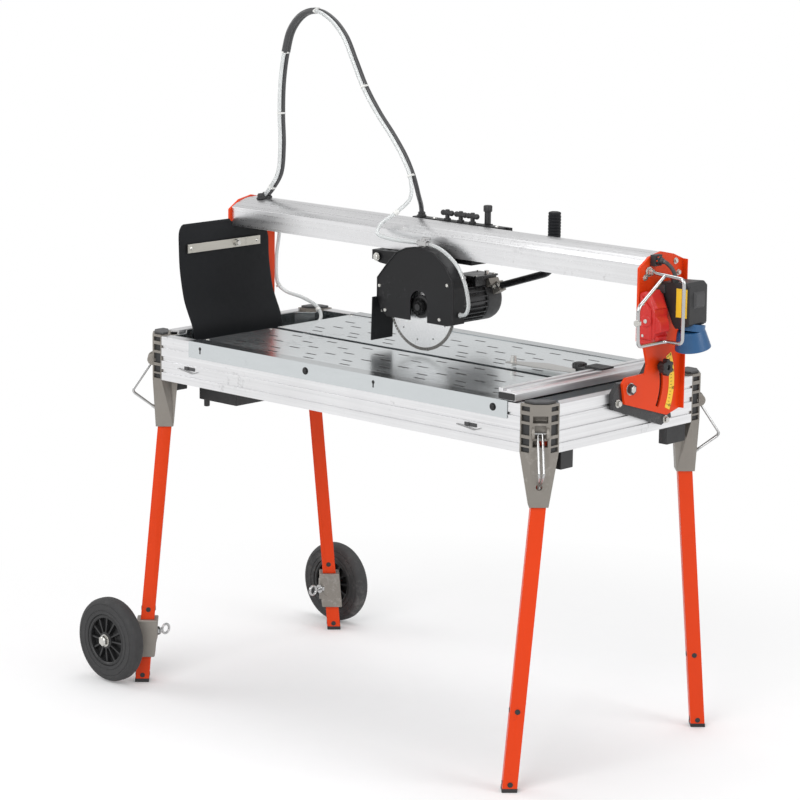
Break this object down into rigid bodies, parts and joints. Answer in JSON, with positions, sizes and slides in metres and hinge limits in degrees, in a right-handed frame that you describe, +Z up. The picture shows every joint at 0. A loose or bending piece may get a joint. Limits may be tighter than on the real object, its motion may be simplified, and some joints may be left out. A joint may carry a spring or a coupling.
{
  "type": "wet tile saw",
  "caption": "Bridge tile saw: a plunging blade head slides along a tilting beam over a water table on splayed pull-out legs, with wheels at one end and a switch box at the other.",
  "frame": {"origin": "middle of the bounding box of everything but the cords, at floor level", "axes": "+Z up; +X along the bridge towards the switch box; +Y towards the back, where the motor and handle are"},
  "size_m": [1.46, 0.822, 1.5734],
  "materials": {
    "rail_aluminium": "mill finish extrusion, drawn lengthwise",
    "casting": "sand-cast, dull grey",
    "zinc_sheet": "zinc-plated sheet, smooth and reflective",
    "orange_paint": "satin orange-red powder coat",
    "latch_wire": "zinc-plated wire",
    "bright_steel": "bright turned steel",
    "black_paint": "satin black",
    "black_plastic": "matt black moulded",
    "red_plastic": "red moulded",
    "blue_plastic": "blue moulded",
    "tyre_rubber": "dark grey solid rubber",
    "soft_rubber": "black rubber sheet and sheath",
    "clear_tube": "translucent hose"
  },
  "bodies": {
    "frame": {"front_rail": "rail_aluminium", "back_rail": "rail_aluminium", "left_rail": "rail_aluminium", "right_rail": "rail_aluminium", "corner_front_right": "casting", "corner_front_left": "casting", "corner_back_left": "casting", "corner_back_right": "casting", "foot_block_front_right": "black_plastic", "foot_block_back_right": "black_plastic", "foot_block_front_left": "black_plastic", "foot_block_back_left": "black_plastic", "water_tray": "zinc_sheet", "tray_sump": "black_plastic", "pump": "black_plastic", "front_board": "zinc_sheet", "back_board": "zinc_sheet", "fence_bar": "rail_aluminium", "tilt_base_right": "black_paint", "tilt_base_left": "black_paint", "feed_hose": "clear_tube"},
    "bridge": {"bridge_beam": "rail_aluminium", "end_plate_right": "orange_paint", "end_plate_left": "orange_paint", "splash_flap": "soft_rubber", "flap_strip": "bright_steel", "switch_box": "black_plastic", "junction_box": "red_plastic", "power_inlet": "blue_plastic", "wire_guard": "latch_wire", "switch_lead": "soft_rubber", "power_cable": "soft_rubber", "water_hose": "clear_tube"},
    "carriage": {"carriage": "black_paint"},
    "head": {"motor": "black_paint", "blade_guard": "black_paint", "head_flap": "soft_rubber", "handle": "black_plastic", "water_valve": "bright_steel"},
    "spindle": {"arbor": "bright_steel", "blade": "bright_steel"},
    "tilt_knob_right": {"tilt_knob_right": "black_plastic"},
    "tilt_knob_left": {"tilt_knob_left": "black_plastic"},
    "stop_slide": {"stop_slide": "black_plastic"},
    "stop_arm": {"stop_arm": "bright_steel"},
    "stop_knob": {"stop_knob": "black_plastic"},
    "leg_front_right": {"leg_front_right": "orange_paint"},
    "latch_front_right": {"latch_front_right": "latch_wire"},
    "leg_front_left": {"leg_front_left": "orange_paint", "wheel_clamp_front": "casting"},
    "latch_front_left": {"latch_front_left": "latch_wire"},
    "leg_back_left": {"leg_back_left": "orange_paint", "wheel_clamp_back": "casting"},
    "latch_back_left": {"latch_back_left": "latch_wire"},
    "leg_back_right": {"leg_back_right": "orange_paint"},
    "latch_back_right": {"latch_back_right": "latch_wire"},
    "wheel_front": {"wheel_hub_front": "black_plastic", "wheel_tyre_front": "tyre_rubber"},
    "wheel_back": {"wheel_hub_back": "black_plastic", "wheel_tyre_back": "tyre_rubber"}
  },
  "joints": [
    {"name": "bridge_tilt", "type": "hinge", "parent": "frame", "child": "bridge", "pos_m": [-0.009, -0.015, 0.831], "axis": [1, 0, 0], "range_deg": [0, 45], "deforming": ["splash_flap", "head_flap", "feed_hose"]},
    {"name": "carriage_slide", "type": "slide", "parent": "bridge", "child": "carriage", "axis": [1, 0, 0], "range_m": [-0.4, 0.3], "deforming": ["power_cable", "water_hose"]},
    {"name": "head_plunge", "type": "hinge", "parent": "carriage", "child": "head", "pos_m": [-0.124, -0.008, 1.033], "axis": [0, 1, 0], "range_deg": [-8, 12.5], "deforming": ["head_flap", "water_hose"]},
    {"name": "blade_spin", "type": "hinge", "parent": "head", "child": "spindle", "pos_m": [0.016, -0.015, 0.935], "axis": [0, 1, 0], "continuous": true},
    {"name": "tilt_knob_right_turn", "type": "hinge", "parent": "frame", "child": "tilt_knob_right", "pos_m": [0.634, 0.08442, 0.86778], "axis": [1, 0, 0], "continuous": true},
    {"name": "tilt_knob_left_turn", "type": "hinge", "parent": "frame", "child": "tilt_knob_left", "pos_m": [-0.652, 0.08442, 0.86778], "axis": [1, 0, 0], "continuous": true},
    {"name": "stop_slide_along", "type": "slide", "parent": "frame", "child": "stop_slide", "axis": [0, 1, 0], "range_m": [0, 0.17]},
    {"name": "stop_arm_swing", "type": "hinge", "parent": "stop_slide", "child": "stop_arm", "pos_m": [0.431, 0.04, 0.835], "axis": [0, 0, 1], "range_deg": [-90, 0]},
    {"name": "stop_knob_turn", "type": "hinge", "parent": "stop_slide", "child": "stop_knob", "pos_m": [0.431, 0.04, 0.845], "axis": [0, 0, 1], "continuous": true},
    {"name": "leg_front_right_pull", "type": "slide", "parent": "frame", "child": "leg_front_right", "axis": [0, -0.124, -0.9923], "range_m": [0, 0.2]},
    {"name": "latch_front_right_open", "type": "hinge", "parent": "frame", "child": "latch_front_right", "pos_m": [0.58152, -0.26702, 0.766], "axis": [-0.7071, -0.7071, 0], "range_deg": [0, 35]},
    {"name": "leg_front_left_pull", "type": "slide", "parent": "frame", "child": "leg_front_left", "axis": [0, -0.124, -0.9923], "range_m": [0, 0.2]},
    {"name": "latch_front_left_open", "type": "hinge", "parent": "frame", "child": "latch_front_left", "pos_m": [-0.59952, -0.26702, 0.766], "axis": [-0.7071, 0.7071, 0], "range_deg": [0, 35]},
    {"name": "leg_back_left_pull", "type": "slide", "parent": "frame", "child": "leg_back_left", "axis": [0, 0.124, -0.9923], "range_m": [0, 0.2]},
    {"name": "latch_back_left_open", "type": "hinge", "parent": "frame", "child": "latch_back_left", "pos_m": [-0.59952, 0.26702, 0.766], "axis": [0.7071, 0.7071, 0], "range_deg": [0, 35]},
    {"name": "leg_back_right_pull", "type": "slide", "parent": "frame", "child": "leg_back_right", "axis": [0, 0.124, -0.9923], "range_m": [0, 0.2]},
    {"name": "latch_back_right_open", "type": "hinge", "parent": "frame", "child": "latch_back_right", "pos_m": [0.58152, 0.26702, 0.766], "axis": [0.7071, -0.7071, 0], "range_deg": [0, 35]},
    {"name": "wheel_front_spin", "type": "hinge", "parent": "leg_front_left", "child": "wheel_front", "pos_m": [-0.63, -0.381, 0.103], "axis": [0, 1, 0], "continuous": true},
    {"name": "wheel_back_spin", "type": "hinge", "parent": "leg_back_left", "child": "wheel_back", "pos_m": [-0.63, 0.381, 0.103], "axis": [0, 1, 0], "continuous": true}
  ]
}
